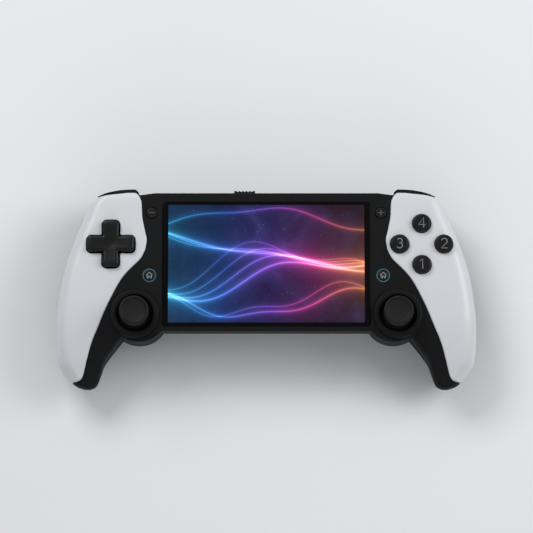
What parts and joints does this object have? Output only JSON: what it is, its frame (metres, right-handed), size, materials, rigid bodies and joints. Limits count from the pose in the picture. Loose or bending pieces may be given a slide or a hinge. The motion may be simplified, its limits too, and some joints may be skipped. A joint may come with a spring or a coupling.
{
  "type": "handheld_game_console",
  "caption": "Handheld game console with a wide screen between two white grip plates, thumbsticks, direction pad, round buttons, shoulder buttons and triggers",
  "frame": {"origin": "centre of the resting side, on the surface the console lies on", "axes": "+X to the player's right, +Y to the edge with the shoulder buttons, +Z out of the screen"},
  "size_m": [0.2314, 0.1099, 0.05],
  "materials": {
    "black_shell": "fine satin grain",
    "white_plate": "smooth satin",
    "lens": "polished",
    "panel": "smooth",
    "stick_rubber": "soft matte",
    "black_key": "satin",
    "silicone": "matte",
    "steel": "brushed",
    "circuit_board": "solder mask",
    "inner_plastic": "moulded",
    "light_ring": "translucent"
  },
  "bodies": {
    "console": {"front_shell": "black_shell", "rear_shell": "black_shell", "left_stick_ring": "black_shell", "right_stick_ring": "black_shell", "left_grip_plate": "white_plate", "right_grip_plate": "white_plate", "screen_lens": "lens", "display_panel": "panel", "backlight": "panel", "lens_gasket": "silicone", "dpad_membrane": "silicone", "button_membrane": "silicone", "mid_frame": "steel", "shield_can": "steel", "menu_switches": "steel", "shoulder_switches": "steel", "trigger_pins": "steel", "power_switch": "steel", "usb_socket": "steel", "card_reader": "steel", "case_screws": "steel", "main_board": "circuit_board", "left_control_board": "circuit_board", "right_control_board": "circuit_board", "left_stick_board": "circuit_board", "right_stick_board": "circuit_board", "battery": "inner_plastic", "dpad_post": "inner_plastic", "left_stick_housing": "inner_plastic", "right_stick_housing": "inner_plastic", "left_speaker": "inner_plastic", "right_speaker": "inner_plastic", "headphone_socket": "inner_plastic", "left_home_ring": "light_ring", "right_home_ring": "light_ring"},
    "dpad_rocker": {"dpad_pivot": "steel"},
    "dpad_cross": {"dpad": "black_key"},
    "key_right": {"button_right": "black_key"},
    "key_top": {"button_top": "black_key"},
    "key_left": {"button_left": "black_key"},
    "key_bottom": {"button_bottom": "black_key"},
    "key_minus": {"minus_button": "black_shell"},
    "key_plus": {"plus_button": "black_shell"},
    "key_left_home": {"left_home_button": "black_shell"},
    "key_right_home": {"right_home_button": "black_shell"},
    "left_rocker": {"left_stick_rocker": "inner_plastic"},
    "left_gimbal": {"left_stick_gimbal": "inner_plastic"},
    "left_stick": {"left_stick_shaft": "steel", "left_stick_cap": "stick_rubber"},
    "right_rocker": {"right_stick_rocker": "inner_plastic"},
    "right_gimbal": {"right_stick_gimbal": "inner_plastic"},
    "right_stick": {"right_stick_shaft": "steel", "right_stick_cap": "stick_rubber"},
    "left_shoulder": {"left_shoulder_button": "black_shell"},
    "right_shoulder": {"right_shoulder_button": "black_shell"},
    "left_trigger_lever": {"left_trigger": "black_shell"},
    "right_trigger_lever": {"right_trigger": "black_shell"},
    "power_knob": {"power_slider": "black_shell"}
  },
  "joints": [
    {"name": "dpad_up_down", "type": "hinge", "parent": "console", "child": "dpad_rocker", "pos_m": [-0.0856, 0.0232, 0.03387], "axis": [1, 0, 0], "range_deg": [-5, 5], "stiffness_Nm_per_rad": 0.08},
    {"name": "dpad_left_right", "type": "hinge", "parent": "dpad_rocker", "child": "dpad_cross", "pos_m": [-0.0856, 0.0232, 0.03387], "axis": [0, 1, 0], "range_deg": [-5, 5], "stiffness_Nm_per_rad": 0.08},
    {"name": "press_button_right", "type": "slide", "parent": "console", "child": "key_right", "axis": [0, 0, -1], "range_m": [0, 0.0014], "stiffness_N_per_m": 500},
    {"name": "press_button_top", "type": "slide", "parent": "console", "child": "key_top", "axis": [0, 0, -1], "range_m": [0, 0.0014], "stiffness_N_per_m": 500},
    {"name": "press_button_left", "type": "slide", "parent": "console", "child": "key_left", "axis": [0, 0, -1], "range_m": [0, 0.0014], "stiffness_N_per_m": 500},
    {"name": "press_button_bottom", "type": "slide", "parent": "console", "child": "key_bottom", "axis": [0, 0, -1], "range_m": [0, 0.0014], "stiffness_N_per_m": 500},
    {"name": "press_minus", "type": "slide", "parent": "console", "child": "key_minus", "axis": [0, 0, -1], "range_m": [0, 0.0006], "stiffness_N_per_m": 1200},
    {"name": "press_plus", "type": "slide", "parent": "console", "child": "key_plus", "axis": [0, 0, -1], "range_m": [0, 0.0006], "stiffness_N_per_m": 1200},
    {"name": "press_left_home", "type": "slide", "parent": "console", "child": "key_left_home", "axis": [0, 0, -1], "range_m": [0, 0.0006], "stiffness_N_per_m": 1200},
    {"name": "press_right_home", "type": "slide", "parent": "console", "child": "key_right_home", "axis": [0, 0, -1], "range_m": [0, 0.0006], "stiffness_N_per_m": 1200},
    {"name": "left_stick_up_down", "type": "hinge", "parent": "console", "child": "left_rocker", "pos_m": [-0.0722, -0.0154, 0.027], "axis": [1, 0, 0], "range_deg": [-18, 18], "stiffness_Nm_per_rad": 0.06},
    {"name": "left_stick_left_right", "type": "hinge", "parent": "left_rocker", "child": "left_gimbal", "pos_m": [-0.0722, -0.0154, 0.027], "axis": [0, 1, 0], "range_deg": [-18, 18], "stiffness_Nm_per_rad": 0.06},
    {"name": "left_stick_click", "type": "slide", "parent": "left_gimbal", "child": "left_stick", "axis": [0, 0, -1], "range_m": [0, 0.0005], "stiffness_N_per_m": 4000},
    {"name": "right_stick_up_down", "type": "hinge", "parent": "console", "child": "right_rocker", "pos_m": [0.0722, -0.0154, 0.027], "axis": [1, 0, 0], "range_deg": [-18, 18], "stiffness_Nm_per_rad": 0.06},
    {"name": "right_stick_left_right", "type": "hinge", "parent": "right_rocker", "child": "right_gimbal", "pos_m": [0.0722, -0.0154, 0.027], "axis": [0, 1, 0], "range_deg": [-18, 18], "stiffness_Nm_per_rad": 0.06},
    {"name": "right_stick_click", "type": "slide", "parent": "right_gimbal", "child": "right_stick", "axis": [0, 0, -1], "range_m": [0, 0.0005], "stiffness_N_per_m": 4000},
    {"name": "press_left_shoulder", "type": "slide", "parent": "console", "child": "left_shoulder", "axis": [0, -1, 0], "range_m": [0, 0.0008], "stiffness_N_per_m": 1500},
    {"name": "pull_left_trigger", "type": "hinge", "parent": "console", "child": "left_trigger_lever", "pos_m": [-0.079, 0.0465, 0.0205], "axis": [-1, 0, 0], "range_deg": [0, 16], "stiffness_Nm_per_rad": 0.1},
    {"name": "press_right_shoulder", "type": "slide", "parent": "console", "child": "right_shoulder", "axis": [0, -1, 0], "range_m": [0, 0.0008], "stiffness_N_per_m": 1500},
    {"name": "pull_right_trigger", "type": "hinge", "parent": "console", "child": "right_trigger_lever", "pos_m": [0.079, 0.0465, 0.0205], "axis": [-1, 0, 0], "range_deg": [0, 16], "stiffness_Nm_per_rad": 0.1},
    {"name": "slide_power_knob", "type": "slide", "parent": "console", "child": "power_knob", "axis": [1, 0, 0], "range_m": [0, 0.003], "stiffness_N_per_m": 300}
  ]
}
